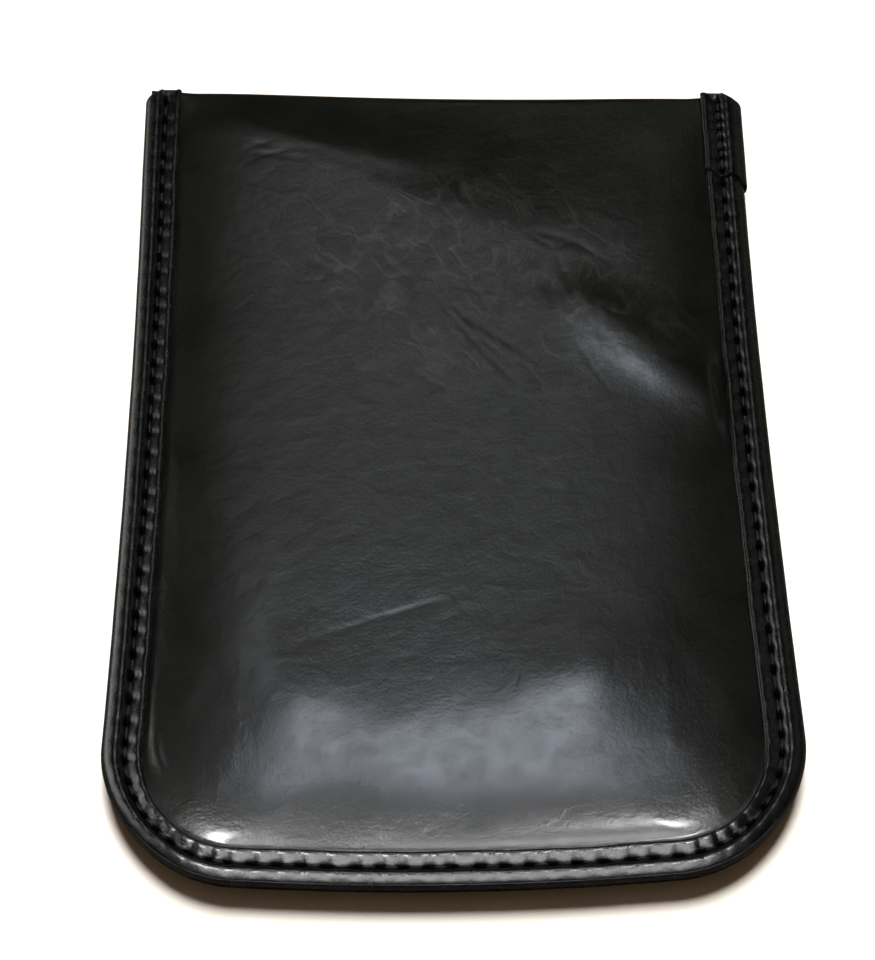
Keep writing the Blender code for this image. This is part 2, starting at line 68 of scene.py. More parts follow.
# Layers and heights
LEATHER = 0.0008
LINING = 0.0003
LINING_GAP = 0.0004
LINING_INSET = 0.0062
LINING_SHORT = 0.008
STRIP = 0.0005
FACE = 0.0013
STRIP_FACE = FACE + 0.0007
SEAM_HEIGHT = 0.005
MOUTH_LIFT = 0.0012
MOUTH_LIFT_LENGTH = 0.06
FRONT_CROWN = 0.0052
MOUTH_CROWN = 0.0011
FRONT_REACH = 0.018
SIDE_FALL = 0.012
BOTTOM_FALL = 0.015
TUCK = 0.2
TUCK_FALL = 0.0025
BACK_REACH = 0.012
BACK_REACH_AT_ZIP = 0.004
SHELF_HEIGHT = 0.0036
SHELF_RAMP = 0.036
SHELF_FLAT = 0.004
ZIP_Y = (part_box("zipper_tape_upper")[0].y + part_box("zipper_tape_lower")[1].y) / 2
WINDOW_HALF = 0.005
EDGE = 0.0013
FOLD_DEPTH = 0.0025
FOLD_STEPS = 15
BACK_FOLD_STEPS = 36

# Binding
BINDING_WIDTH = 0.0077
GROOVE_INSET = 0.0045
STITCH_PITCH = 0.0044
LAP_PITCH = 0.0027
LAP_LENGTH = 0.0242
LAP_STEP = 0.0007
END_ROUND = 0.0024
THREAD_RADIUS = 0.00022
THREAD_REACH = 0.86
THREAD_SIDES = 8
THREAD_RINGS = 11

# Fineness of the meshes and of the front's finer creases
GRID_STEP = 0.00045
FINE_DEPTH = 0.00006
FINE_WIDTH = 0.00055
PATH_STEP = 0.00048
PROFILE_POINTS = 84


def smooth(t):
    t = np.clip(t, 0.0, 1.0)
    return t * t * (3 - 2 * t)


def mix(low, high, t):
    return low + (high - low) * t


def bell(distance, width):
    return np.exp(-((distance / width) ** 2))


# ---------------------------------------------------------------- the pouch's form


def seam_height(b):
    return SEAM_HEIGHT + MOUTH_LIFT * smooth(1 - (MOUTH - b) / MOUTH_LIFT_LENGTH)


def margin(distance, reach):
    return np.sin(np.clip((distance - BINDING_WIDTH) / reach, 0.0, 1.0) * pi / 2)


def warp(a, b):
    """World X and Y: the sides waisted, the bottom bowed and the mouth a little slanted."""
    along = np.clip((b - BOTTOM) / LENGTH, 0.0, 1.0)
    x = a * (1 - WAIST / HALF * np.sin(pi * along))
    y = b - BOTTOM_BOW * (1 - (a / HALF) ** 2) * (1 - along) ** 2
    y = y - MOUTH_SLANT * a / HALF * smooth(1 - (MOUTH - b) / SLANT_LENGTH)
    return x + CENTRE_X, y


def round_corners(a, b):
    """The square grid's two lower corners drawn in to arcs."""
    out = np.abs(a) - (HALF - CORNER_RADIUS)
    down = BOTTOM + CORNER_RADIUS - b
    inside = (out > 0) & (down > 0)
    far = np.where(inside, np.hypot(out, down), 1.0)
    scale = np.where(inside, np.maximum(out, down) / far, 1.0)
    a = np.where(inside, np.sign(a) * (HALF - CORNER_RADIUS + out * scale), a)
    b = np.where(inside, BOTTOM + CORNER_RADIUS - down * scale, b)
    return a, b


def plan(a, b):
    return warp(*round_corners(a, b))


def dome(a, b):
    """The padded front's swell: 0 at the binding, steep beside it, and 1 in the middle.

    Its contours are the outline drawn in, with rounder corners the further in they are.
    """
    a, b = round_corners(a, b)
    side = HALF - np.abs(a)
    low = b - BOTTOM
    near = 0.0
    for _ in range(3):
        radius = CORNER_RADIUS + 1.5 * near
        from_side = np.maximum(radius - side, 0)
        from_low = np.maximum(radius - low, 0)
        near = np.maximum(radius - np.hypot(from_side, from_low) - BINDING_WIDTH, 0)
    below = from_low**2 / np.maximum(from_side**2 + from_low**2, 1e-9)
    fall = mix(SIDE_FALL, BOTTOM_FALL, below)
    tuck = mix(0.03, TUCK, below) * (1 - 0.8 * bell(a + 0.022, 0.010))
    return 1 - (1 - tuck) * np.exp(-near / fall) - tuck * np.exp(-near / TUCK_FALL)


def line_crease(a, b, start, end, depth, width, bow=0.0):
    """A dent (or, with a negative depth, a ridge) along a line, fading out at both ends."""
    run = np.subtract(end, start)
    length = np.hypot(*run)
    along = ((a - start[0]) * run[0] + (b - start[1]) * run[1]) / length**2
    across = ((a - start[0]) * run[1] - (b - start[1]) * run[0]) / length
    across = across - bow * 4 * along * (1 - along)
    return -depth * bell(across, width) * smooth(along * 4) * smooth((1 - along) * 4)


# Each crease: where it starts, where it ends, its depth, half its width and how far it bows.
FRONT_CREASES = (
    ((-0.054, 0.0865), (0.004, 0.0665), -0.00045, 0.0034, 0.002),
    ((-0.043, 0.0755), (-0.024, 0.0715), 0.00006, 0.0008, 0.0006),
    ((-0.044, 0.0735), (-0.026, 0.0695), 0.00006, 0.0008, 0.0006),
    ((-0.055, 0.0875), (-0.048, 0.0795), 0.00012, 0.0010, 0.0005),
    ((-0.034, -0.0455), (0.005, -0.0325), 0.00004, 0.0010, -0.0008),
    ((-0.002, 0.0345), (0.019, 0.0175), 0.00007, 0.0009, 0.0006),
    ((-0.001, 0.0315), (0.016, 0.0180), -0.00006, 0.0009, 0.0006),
    ((0.016, 0.0500), (0.031, 0.0445), 0.00006, 0.0011, -0.0010),
    ((0.018, 0.0470), (0.028, 0.0210), 0.00008, 0.0014, 0.0012),
    ((0.022, 0.0330), (0.036, 0.0180), 0.00007, 0.0012, -0.0006),
    ((-0.032, 0.0480), (-0.016, 0.0360), 0.00007, 0.0011, 0.0006),
    ((-0.020, 0.0180), (-0.004, 0.0100), 0.00006, 0.0010, -0.0004),
    ((0.0200, 0.0385), (0.0650, 0.0045), -0.00155, 0.0070, 0.0020),
    ((-0.0535, 0.0050), (-0.0500, -0.0330), -0.00010, 0.0014, 0.0006),
    ((-0.0555, -0.0450), (-0.0520, -0.0700), -0.00035, 0.0011, 0.0010),
)
# The finer creases: where each starts and ends, how far it bows, and its depth beside the others'.
FINE_CREASES = (
    ((-0.0180, 0.0485), (-0.0075, 0.0405), 0.0005, 0.9),
    ((-0.0170, 0.0470), (-0.0095, 0.0405), 0.0005, 0.7),
    ((-0.0030, 0.0360), (0.0165, 0.0100), 0.0010, 1.6),
    ((-0.0010, 0.0365), (0.0150, 0.0150), 0.0010, 0.9),
    ((-0.0080, 0.0175), (0.0020, 0.0105), 0.0004, 0.8),
    ((0.0020, 0.0110), (0.0130, 0.0310), -0.0016, 0.9),
    ((-0.0025, 0.0600), (-0.0040, 0.0500), 0.0003, 0.6),
    ((-0.0005, 0.0540), (0.0012, 0.0400), -0.0004, 0.8),
    ((0.0170, 0.0490), (0.0230, 0.0450), -0.0003, 1.1),
    ((0.0230, 0.0450), (0.0280, 0.0475), -0.0004, 0.9),
    ((0.0275, 0.0475), (0.0350, 0.0415), 0.0006, 1.0),
    ((0.0230, 0.0455), (0.0235, 0.0310), -0.0008, 0.9),
    ((0.0135, 0.0400), (0.0115, 0.0240), 0.0005, 0.7),
    ((-0.0010, 0.0370), (0.0125, 0.0343), 0.0003, 0.7),
    ((-0.0240, 0.0540), (-0.0150, 0.0325), 0.0016, 0.9),
    ((-0.0300, 0.0383), (-0.0235, 0.0390), 0.0002, 0.6),
    ((0.0255, 0.0245), (0.0335, 0.0095), 0.0006, 1.0),
    ((0.0300, 0.0330), (0.0315, 0.0190), -0.0004, 0.7),
    ((-0.0440, 0.0725), (-0.0325, 0.0750), -0.0005, 0.6),
    ((-0.0430, 0.0690), (-0.0300, 0.0727), -0.0005, 0.7),
    ((-0.0445, 0.0708), (-0.0310, 0.0715), -0.0004, 0.6),
    ((-0.0310, -0.0440), (0.0030, -0.0330), -0.0008, 0.7),
)
# Each soft swelling or hollow: its middle, how far it reaches across and along, and its height.
FRONT_SWELLINGS = (
    ((-0.029, -0.051), (0.012, 0.011), 0.00085),
    ((0.025, -0.048), (0.014, 0.011), 0.00140),
    ((0.000, -0.072), (0.010, 0.011), -0.00030),
    ((0.036, -0.020), (0.020, 0.018), -0.00030),
    ((-0.030, 0.010), (0.022, 0.026), -0.00025),
    ((0.006, 0.030), (0.030, 0.020), 0.00025),
    ((-0.030, -0.030), (0.020, 0.016), 0.00020),
    ((0.044, 0.080), (0.012, 0.009), 0.00030),
)


def front_height(a, b):
    """The front leather's outer face above the table."""
    taper = mix(0.014, 0.048, smooth((a + 0.055) / 0.085))
    swell = mix(MOUTH_CROWN, FRONT_CROWN, smooth((MOUTH - b) / taper))
    edge = np.minimum(HALF - np.abs(a), b - BOTTOM)
    height = seam_height(b) + FACE + swell * dome(a, b) - 0.0004 * bell(edge - GROOVE_INSET, 0.001)
    free = smooth(margin(HALF - np.abs(a), 0.006)) * smooth(margin(b - BOTTOM, 0.006))
    free = free * smooth((MOUTH - b) / 0.005)
    for start, end, depth, width, bow in FRONT_CREASES:
        height = height + free * line_crease(a, b, start, end, depth, width, bow)
    for start, end, bow, strength in FINE_CREASES:
        height = height + free * line_crease(a, b, start, end, strength * FINE_DEPTH, FINE_WIDTH, bow)
    for middle, reach, rise in FRONT_SWELLINGS:
        shape = bell(a - middle[0], reach[0]) * bell(b - middle[1], reach[1])
        height = height + free * rise * shape
    return height


def back_height(a, b):
    """The back's outer face, flat on the table but for a shelf under the zip."""
    a, b = round_corners(a, b)
    shelf = smooth((b - (ZIP_Y - WINDOW_HALF - SHELF_RAMP)) / (SHELF_RAMP - SHELF_FLAT))
    reach = mix(BACK_REACH, BACK_REACH_AT_ZIP, shelf)
    from_side = np.maximum(CORNER_RADIUS - HALF + np.abs(a), 0)
    from_low = np.maximum(CORNER_RADIUS - b + BOTTOM, 0)
    sunk = margin(CORNER_RADIUS - np.hypot(from_side, from_low), reach)
    return mix(seam_height(b) - FACE, SHELF_HEIGHT * shelf, sunk)


def stations(low, high, step):
    return np.linspace(low, high, max(2, int(round((high - low) / step)) + 1))


# ---------------------------------------------------------------- materials


class Nodes:
    """Builds one material's node tree with short calls."""

    def __init__(self, name):
        self.material = bpy.data.materials.new(name)
        self.material.use_nodes = True
        self.tree = self.material.node_tree
        self.shader = self.tree.nodes["Principled BSDF"]
        self.place = self.tree.nodes.new("ShaderNodeTexCoord").outputs["Object"]

    def put(self, socket, value):
        if isinstance(value, bpy.types.NodeSocket):
            self.tree.links.new(value, socket)
        else:
            socket.default_value = value

    def math(self, operation, *values, clamp=False):
        node = self.tree.nodes.new("ShaderNodeMath")
        node.operation = operation
        node.use_clamp = clamp
        for socket, value in zip(node.inputs, values):
            self.put(socket, value)
        return node.outputs[0]

    def scaled(self, scale, turn=0.0, shift=(0, 0, 0)):
        node = self.tree.nodes.new("ShaderNodeMapping")
        node.vector_type = "TEXTURE"
        node.inputs["Rotation"].default_value = (0, 0, turn)
        node.inputs["Scale"].default_value = scale
        node.inputs["Location"].default_value = shift
        self.put(node.inputs["Vector"], self.place)
        return node.outputs[0]

    def noise(self, vector, scale=1.0, detail=3.0, roughness=0.5, distortion=0.0):
        node = self.tree.nodes.new("ShaderNodeTexNoise")
        self.put(node.inputs["Vector"], vector)
        node.inputs["Scale"].default_value = scale
        node.inputs["Detail"].default_value = detail
        node.inputs["Roughness"].default_value = roughness
        node.inputs["Distortion"].default_value = distortion
        return node.outputs["Fac"]

    def voronoi(self, vector, scale, feature="F1"):
        node = self.tree.nodes.new("ShaderNodeTexVoronoi")
        node.feature = feature
        self.put(node.inputs["Vector"], vector)
        node.inputs["Scale"].default_value = scale
        return node.outputs["Distance"]

    def wave(self, vector, scale, distortion=0.0, bands="X"):
        node = self.tree.nodes.new("ShaderNodeTexWave")
        node.bands_direction = bands
        self.put(node.inputs["Vector"], vector)
        node.inputs["Scale"].default_value = scale
        node.inputs["Distortion"].default_value = distortion
        return node.outputs["Fac"]

    def spread(self, value, low, high, to_low=0.0, to_high=1.0):
        node = self.tree.nodes.new("ShaderNodeMapRange")
        node.interpolation_type = "SMOOTHSTEP"
        self.put(node.inputs["Value"], value)
        node.inputs["From Min"].default_value = low
        node.inputs["From Max"].default_value = high
        node.inputs["To Min"].default_value = to_low
        node.inputs["To Max"].default_value = to_high
        return node.outputs["Result"]

    def blend_colours(self, factor, first, second):
        node = self.tree.nodes.new("ShaderNodeMix")
        node.data_type = "RGBA"
        self.put(node.inputs["Factor"], factor)
        self.put(node.inputs[6], first if isinstance(first, bpy.types.NodeSocket) else (*first, 1))
        self.put(node.inputs[7], second if isinstance(second, bpy.types.NodeSocket) else (*second, 1))
        return node.outputs[2]

    def near(self, middle, reach):
        """1 at a place on the pouch, falling to 0 at its reach, given across and along."""
        node = self.tree.nodes.new("ShaderNodeMapping")
        node.vector_type = "TEXTURE"
        node.inputs["Location"].default_value = (middle[0], middle[1], 0)
        node.inputs["Scale"].default_value = (reach[0], reach[1], 10)
        self.put(node.inputs["Vector"], self.place)
        length = self.tree.nodes.new("ShaderNodeVectorMath")
        length.operation = "LENGTH"
        self.put(length.inputs[0], node.outputs[0])
        return self.spread(length.outputs["Value"], 0.2, 1.0, 1.0, 0.0)

    def streaks(self, turn, length, width, shift, thinness=0.05, amount=0.5):
        """Fine broken lines that run one way: the ridges of a stretched noise, kept only in patches."""
        lines = self.noise(self.scaled((length, width, width), turn, shift), 1.0, 1.0, 0.4, 0.15)
        off = self.math("ABSOLUTE", self.math("SUBTRACT", lines, 0.5))
        line = self.spread(off, 0.0, thinness, 1.0, 0.0)
        patches = self.noise(self.scaled((0.008,) * 3, turn, shift), 1.0, 1.0)
        return self.math("MULTIPLY", line, self.spread(patches, amount, amount + 0.12))

    def crackle(self, size, stretch, turn, shift, thinness, amount):
        """Long curved creases that meet at points: the edges of stretched, bent cells, in patches."""
        place = self.scaled((size * stretch, size / stretch, size), turn, shift)
        bend = self.tree.nodes.new("ShaderNodeTexNoise")
        self.put(bend.inputs["Vector"], place)
        bend.inputs["Scale"].default_value = 0.9
        bend.inputs["Detail"].default_value = 2.0
        bent = self.tree.nodes.new("ShaderNodeVectorMath")
        bent.operation = "MULTIPLY_ADD"
        self.put(bent.inputs[0], bend.outputs["Color"])
        bent.inputs[1].default_value = (0.9, 0.9, 0.9)
        self.put(bent.inputs[2], place)
        edge = self.voronoi(bent.outputs["Vector"], 1.0, "DISTANCE_TO_EDGE")
        patches = self.noise(self.scaled((0.007,) * 3, turn, shift), 1.0, 1.0)
        line = self.spread(edge, 0.0, thinness, 1.0, 0.0)
        return self.math("MULTIPLY", line, self.spread(patches, amount, amount + 0.16))

    def total(self, *values):
        result = values[0]
        for value in values[1:]:
            result = self.math("ADD", result, value)
        return result

    def bump(self, height, distance, strength=1.0):
        node = self.tree.nodes.new("ShaderNodeBump")
        node.inputs["Strength"].default_value = strength
        node.inputs["Distance"].default_value = distance
        self.put(node.inputs["Height"], height)
        if self.shader.inputs["Normal"].is_linked:
            self.put(node.inputs["Normal"], self.shader.inputs["Normal"].links[0].from_socket)
        self.put(self.shader.inputs["Normal"], node.outputs["Normal"])

    def set(self, **values):
        for name, value in values.items():
            self.put(self.shader.inputs[name.replace("_", " ")], value)


def leather_grain(nodes, depth):
    """The embossed grain: small rounded pebbles under a finer roughness."""
    drift = nodes.scaled((1, 1, 1))
    pebbles = nodes.voronoi(drift, 1700)
    fine = nodes.noise(drift, 2600, 2, 0.6)
    broad = nodes.noise(drift, 420, 3, 0.55)
    height = nodes.total(
        nodes.math("MULTIPLY", nodes.spread(pebbles, 0.1, 0.7, 1.0, 0.0), 0.45),
        nodes.math("MULTIPLY", fine, 0.25),
        nodes.math("MULTIPLY", broad, 0.8),
    )
    nodes.bump(height, depth)
    return broad


def make_panel_leather():
    """Semi-gloss black leather, finely creased where the pouch has been bent most, with a painted highlight
    along the creases.
    """
    nodes = Nodes("pouch_leather")
    mottle = nodes.noise(nodes.scaled((0.011, 0.011, 0.011)), 1.0, 4, 0.6)
    tone = nodes.spread(mottle, 0.3, 0.7)
    base = nodes.blend_colours(tone, (0.0013, 0.0013, 0.0009), (0.0027, 0.0027, 0.0021))
    broad = leather_grain(nodes, 0.000036)
    gloss = nodes.math("ADD", nodes.math("MULTIPLY", mottle, 0.09), nodes.math("MULTIPLY", broad, 0.07))
    rough = nodes.math("ADD", gloss, 0.25)
    cloudy = nodes.noise(nodes.scaled((0.0052, 0.0040, 0.005), radians(20)), 1.0, 3, 0.55, 0.4)
    nodes.bump(cloudy, 0.00021)
    bent = nodes.math(
        "ADD",
        nodes.near((CENTRE_X + 0.010, 0.036), (0.052, 0.040)),
        nodes.math("MULTIPLY", nodes.near((CENTRE_X - 0.020, 0.052), (0.038, 0.030)), 0.5),
        clamp=True,
    )
    lines = nodes.total(
        nodes.crackle(0.0075, 1.35, radians(-48), (0.031, 0.012, 0), 0.13, 0.42),
        nodes.crackle(0.0052, 1.25, radians(72), (0.017, 0.043, 0), 0.14, 0.46),
        nodes.streaks(radians(60), 0.011, 0.00075, (0.2, 0.9, 0.0), 0.035, 0.50),
    )
    everywhere = nodes.crackle(0.0160, 1.5, radians(24), (0.015, 0.035, 0.0), 0.04, 0.50)
    creases = nodes.math("MULTIPLY", lines, bent)
    nodes.bump(nodes.math("ADD", creases, nodes.math("MULTIPLY", everywhere, 0.25)), -0.000045)
    # Painted highlight: the fine creases are lightened in the base colour, standing in for light caught along
    # their edges.
    painted_crease_highlight = nodes.math("MULTIPLY", creases, 0.36, clamp=True)
    base = nodes.blend_colours(painted_crease_highlight, base, (0.022, 0.023, 0.022))
    rough = nodes.math("ADD", rough, nodes.math("MULTIPLY", bent, 0.05))
    nodes.set(Base_Color=base, Roughness=rough)
    nodes.set(Coat_Weight=nodes.spread(cloudy, 0.30, 0.70, 0.26, 0.46))
    nodes.set(Specular_IOR_Level=0.36, Coat_Roughness=0.16)
    return nodes.material


def make_strip_leather():
    """The binding's leather: the same hide, smoother, with scuffed high spots and painted shade in its stitch
    pits and groove.
    """
    nodes = Nodes("binding_leather")
    mottle = nodes.noise(nodes.scaled((0.004, 0.004, 0.004)), 1.0, 4, 0.6)
    scuffs = nodes.spread(nodes.noise(nodes.scaled((0.0016, 0.0016, 0.0016)), 1.0, 3, 0.6), 0.62, 0.72)
    tone = nodes.spread(mottle, 0.3, 0.7)
    base = nodes.blend_colours(tone, (0.0010, 0.0010, 0.0009), (0.0022, 0.0022, 0.0020))
    base = nodes.blend_colours(nodes.math("MULTIPLY", scuffs, 0.35), base, (0.020, 0.020, 0.019))
    leather_grain(nodes, 0.000016)
    # Painted shade: in the pressed stitch pits and groove the colour goes near black and the leather turns
    # metallic, so it reflects almost nothing there. This stands in for the shade inside them.
    attribute = nodes.tree.nodes.new("ShaderNodeAttribute")
    attribute.attribute_name = "sunk"
    sunk = nodes.spread(attribute.outputs["Fac"], 0.1, 0.7)
    base = nodes.blend_colours(sunk, base, (0.0008, 0.0008, 0.0008))
    rough = nodes.math("ADD", nodes.math("MULTIPLY", mottle, 0.14), 0.20)
    rough = nodes.math("ADD", rough, nodes.math("MULTIPLY", sunk, 0.3))
    nodes.set(Base_Color=base, Roughness=rough)
    nodes.set(Metallic=sunk, Specular_IOR_Level=0.5)
    return nodes.material


def make_thread():
    """Black polyester thread: fine twisted strands, with painted shade between them."""
    nodes = Nodes("polyester_thread")
    twist = nodes.wave(nodes.scaled((1, 1, 1), radians(35)), 900, 1.0)
    fibres = nodes.noise(nodes.scaled((0.0004, 0.0001, 0.0004)), 1.0, 2)
    nodes.bump(nodes.math("ADD", twist, fibres), 0.00003)
    # Painted shade: the colour follows the twist, darker in the grooves between the strands and lighter on
    # their crests.
    shade = nodes.blend_colours(twist, (0.004, 0.004, 0.004), (0.014, 0.014, 0.014))
    nodes.set(Base_Color=shade, Roughness=nodes.spread(fibres, 0.3, 0.7, 0.5, 0.75))
    nodes.set(Specular_IOR_Level=0.15)
    return nodes.material


def make_cut_edge():
    """The leather's cut edge: its matt backing cloth, dyed black."""
    nodes = Nodes("cut_edge")
    fibres = nodes.noise(nodes.scaled((0.0002, 0.0002, 0.0002)), 1.0, 3, 0.7)
    nodes.bump(fibres, 0.00003)
    nodes.set(Base_Color=nodes.blend_colours(fibres, (0.0015, 0.0015, 0.0015), (0.006, 0.006, 0.006)))
    nodes.set(Roughness=nodes.spread(fibres, 0.3, 0.7, 0.8, 0.95), Specular_IOR_Level=0.1)
    return nodes.material


def make_woven(name, dark, light, thread, slant):
    """A woven cloth: two sets of yarns that cross, and a slanted twill line, with painted shade in the
    weave's hollows.
    """
    nodes = Nodes(name)
    warp_yarns = nodes.wave(nodes.scaled((1, 1, 1)), 0.16 / thread)
    weft_yarns = nodes.wave(nodes.scaled((1, 1, 1)), 0.16 / thread, bands="Y")
    twill = nodes.wave(nodes.scaled((1, 1, 1), slant), 0.05 / thread, 0.6)
    height = nodes.total(
        nodes.math("MULTIPLY", warp_yarns, weft_yarns), nodes.math("MULTIPLY", twill, 0.6)
    )
    fuzz = nodes.noise(nodes.scaled((thread * 2,) * 3), 1.0, 3, 0.7)
    nodes.bump(nodes.math("ADD", height, nodes.math("MULTIPLY", fuzz, 0.3)), thread / 4)
    # Painted shade: the colour follows the weave's height, darker in the hollows between the yarns and
    # lighter on their tops.
    nodes.set(Base_Color=nodes.blend_colours(nodes.spread(height, 0.2, 1.2), dark, light))
    nodes.set(Roughness=nodes.spread(fuzz, 0.3, 0.7, 0.72, 0.92))
    nodes.set(Sheen_Weight=0.25, Sheen_Roughness=0.4)
    return nodes.material


def make_nylon():
    nodes = Nodes("zip_nylon")
    wear = nodes.noise(nodes.scaled((0.0012, 0.0012, 0.0012)), 1.0, 3, 0.6)
    nodes.bump(nodes.noise(nodes.scaled((0.0003, 0.0003, 0.0003)), 1.0, 2), 0.00001)
    nodes.set(Base_Color=nodes.blend_colours(wear, (0.010, 0.010, 0.011), (0.026, 0.026, 0.028)))
    nodes.set(Roughness=nodes.spread(wear, 0.3, 0.7, 0.28, 0.46))
    return nodes.material


def make_nickel():
    """Plated zinc: soft casting ripple, fine rubbing marks and a slightly dull, warmer plating in places."""
    nodes = Nodes("nickel_plate")
    cloud = nodes.noise(nodes.scaled((0.003, 0.003, 0.003)), 1.0, 3, 0.6)
    rubbed = nodes.noise(nodes.scaled((0.004, 0.00012, 0.00012), radians(20)), 1.0, 3, 0.6)
    nodes.bump(nodes.math("ADD", nodes.math("MULTIPLY", cloud, 3.0), rubbed), 0.000006)
    nodes.set(Base_Color=nodes.blend_colours(cloud, (0.60, 0.58, 0.55), (0.72, 0.71, 0.70)))
    nodes.set(Roughness=nodes.math("ADD", nodes.math("MULTIPLY", rubbed, 0.18), 0.14))
    nodes.set(Metallic=1.0)
    return nodes.material


# ---------------------------------------------------------------- mesh helpers


def mesh_object(name, points, faces, material):
    mesh = bpy.data.meshes.new(name)
    mesh.from_pydata(points.tolist(), [], faces)
    mesh.update()
    mesh.shade_smooth()
    mesh.materials.append(material)
    obj = bpy.data.objects.new(name, mesh)
    bpy.context.scene.collection.objects.link(obj)
    return obj


def grid_object(name, points, material):
    """A mesh from rows of points."""
    rows, columns, _ = points.shape
    index = np.arange(rows * columns).reshape(rows, columns)
    corners = [index[:-1, :-1], index[:-1, 1:], index[1:, 1:], index[1:, :-1]]
    faces = np.stack(corners, axis=-1).reshape(-1, 4)
    return mesh_object(name, points.reshape(-1, 3), faces.tolist(), material)


def thicken(obj, thickness, edge=None):
    """The sheet given its thickness, with crisp cut edges."""
    solidify = obj.modifiers.new("Thickness", "SOLIDIFY")
    solidify.thickness = thickness
    solidify.offset = -1
    if edge is not None:
        obj.data.materials.append(edge)
        solidify.material_offset_rim = 1
    solid = bpy.data.meshes.new_from_object(obj.evaluated_get(bpy.context.evaluated_depsgraph_get()))
    obj.modifiers.clear()
    obj.data = solid
    solid.set_sharp_from_angle(angle=radians(50))
    return obj


def add_piece(obj, body, slot, *nodes):
    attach(obj, body)
    if nodes:
        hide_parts(*nodes)
    return obj


# ---------------------------------------------------------------- panels


def columns_across():
    return stations(EDGE - HALF, HALF - EDGE, GRID_STEP)


def make_front(leather, cut_edge):
    """One sheet of leather: up the front, rolled over the mouth and down to the zip on the back."""
    a = columns_across()
    fold = MOUTH - FOLD_DEPTH
    radius = (front_height(a, fold) - back_height(a, fold)) / 2
    start = MOUTH - MOUTH_PULL * (1 - (a / HALF) ** 2) - radius
    top = front_height(a, start)
    low = back_height(a, start)
    radius = (top - low) / 2
    rows = []
    straight = MOUTH - FRONT_REACH
    for b in stations(BOTTOM + EDGE, straight, GRID_STEP):
        b = np.full_like(a, b)
        rows.append((*plan(a, b), front_height(a, b)))
    for t in stations(0, 1, GRID_STEP / FRONT_REACH)[1:]:
        b = mix(straight, start, t)
        rows.append((*plan(a, b), front_height(a, b)))
    for angle in np.linspace(0, pi, FOLD_STEPS)[1:]:
        height = (top + low) / 2 + radius * cos(angle)
        rows.append((*plan(a, start + radius * sin(angle)), height))
    for t in np.linspace(0, 1, BACK_FOLD_STEPS)[1:]:
        b = mix(start, ZIP_Y + WINDOW_HALF, t)
        rows.append((*plan(a, b), back_height(a, b)))
    panel = grid_object("front_leather", np.moveaxis(np.array(rows), 1, 2), leather)
    thicken(panel, LEATHER, cut_edge)
    return add_piece(panel, "pouch", "leather", "front_panel")


def make_front_lining(cloth):
    """The pocket's cloth, close behind the front leather."""
    a = stations(LINING_INSET - HALF, HALF - LINING_INSET, 2 * GRID_STEP)
    rows = []
    for b in stations(BOTTOM + LINING_INSET, MOUTH - LINING_SHORT, 2 * GRID_STEP):
        b = np.full_like(a, b)
        rows.append((*plan(a, b), front_height(a, b) - LEATHER - LINING_GAP))
    lining = grid_object("front_pocket_lining", np.moveaxis(np.array(rows), 1, 2), cloth)
    thicken(lining, LINING)
    return add_piece(lining, "pouch", "lining", "front_lining")


def make_back(leather, cut_edge):
    a = columns_across()
    rows = []
    for b in stations(BOTTOM + EDGE, ZIP_Y - WINDOW_HALF, 2 * GRID_STEP):
        b = np.full_like(a, b)
        rows.append((*plan(a, b), back_height(a, b)))
    points = np.moveaxis(np.array(rows), 1, 2)[:, ::-1]
    panel = thicken(grid_object("back_leather", points, leather), LEATHER, cut_edge)
    return add_piece(panel, "pouch", "leather", "back_panel")


# ---------------------------------------------------------------- binding


class Rim:
    """The outline from the left end of the mouth, round the bottom, to the right end of the mouth."""

    def __init__(self):
        side = MOUTH - STRIP_SHORT - (BOTTOM + CORNER_RADIUS)
        turn = CORNER_RADIUS * pi / 2
        across = 2 * (HALF - CORNER_RADIUS)
        self.marks = np.cumsum([0, side, turn, across, turn, side])
        self.length = self.marks[-1]

    def outline(self, s):
        """Points of the outline and the direction into the pouch, at distances s along it."""
        marks = self.marks
        middle_a = HALF - CORNER_RADIUS
        middle_b = BOTTOM + CORNER_RADIUS
        part = np.clip(np.searchsorted(marks, s, side="right") - 1, 0, 4)
        t = s - marks[part]
        angle = t / CORNER_RADIUS
        over = CORNER_RADIUS * np.sin(angle)
        back = CORNER_RADIUS * np.cos(angle)
        top = MOUTH - STRIP_SHORT
        a = np.choose(part, [-HALF + 0 * t, -middle_a - back, t - middle_a, middle_a + over, HALF + 0 * t])
        b = np.choose(part, [top - t, middle_b - over, BOTTOM + 0 * t, middle_b - back, middle_b + t])
        into_a = np.choose(part, [1 + 0 * t, np.cos(angle), 0 * t, -np.sin(angle), -1 + 0 * t])
        into_b = np.choose(part, [0 * t, np.sin(angle), 1 + 0 * t, np.cos(angle), 0 * t])
        return a, b, into_a, into_b

    def point(self, s, inset, rise):
        a, b, into_a, into_b = self.outline(s)
        x, y = warp(a + inset * into_a, b + inset * into_b)
        return np.stack([x, y, seam_height(b) + rise], axis=-1)


# The strip's outer face from its front edge to the fold: inset from the outline, rise over the strip's face.
STRIP_SECTION = (
    (0.00745, -0.00085),
    (0.00772, -0.00055),
    (0.00778, -0.00015),
    (0.00760, 0.00018),
    (0.00720, 0.00038),
    (0.00670, 0.00032),
    (0.00620, 0.00012),
    (0.00570, -0.00012),
    (0.00520, -0.00036),
    (0.00470, -0.00052),
    (0.00430, -0.00048),
    (0.00390, -0.00020),
    (0.00350, 0.00010),
    (0.00310, 0.00030),
    (0.00265, 0.00034),
    (0.00220, 0.00020),
    (0.00170, -0.00005),
    (0.00120, -0.00033),
    (0.00070, -0.00066),
    (0.00030, -0.00108),
    (0.00007, -0.00150),
    (0.00000, -0.00200),
)


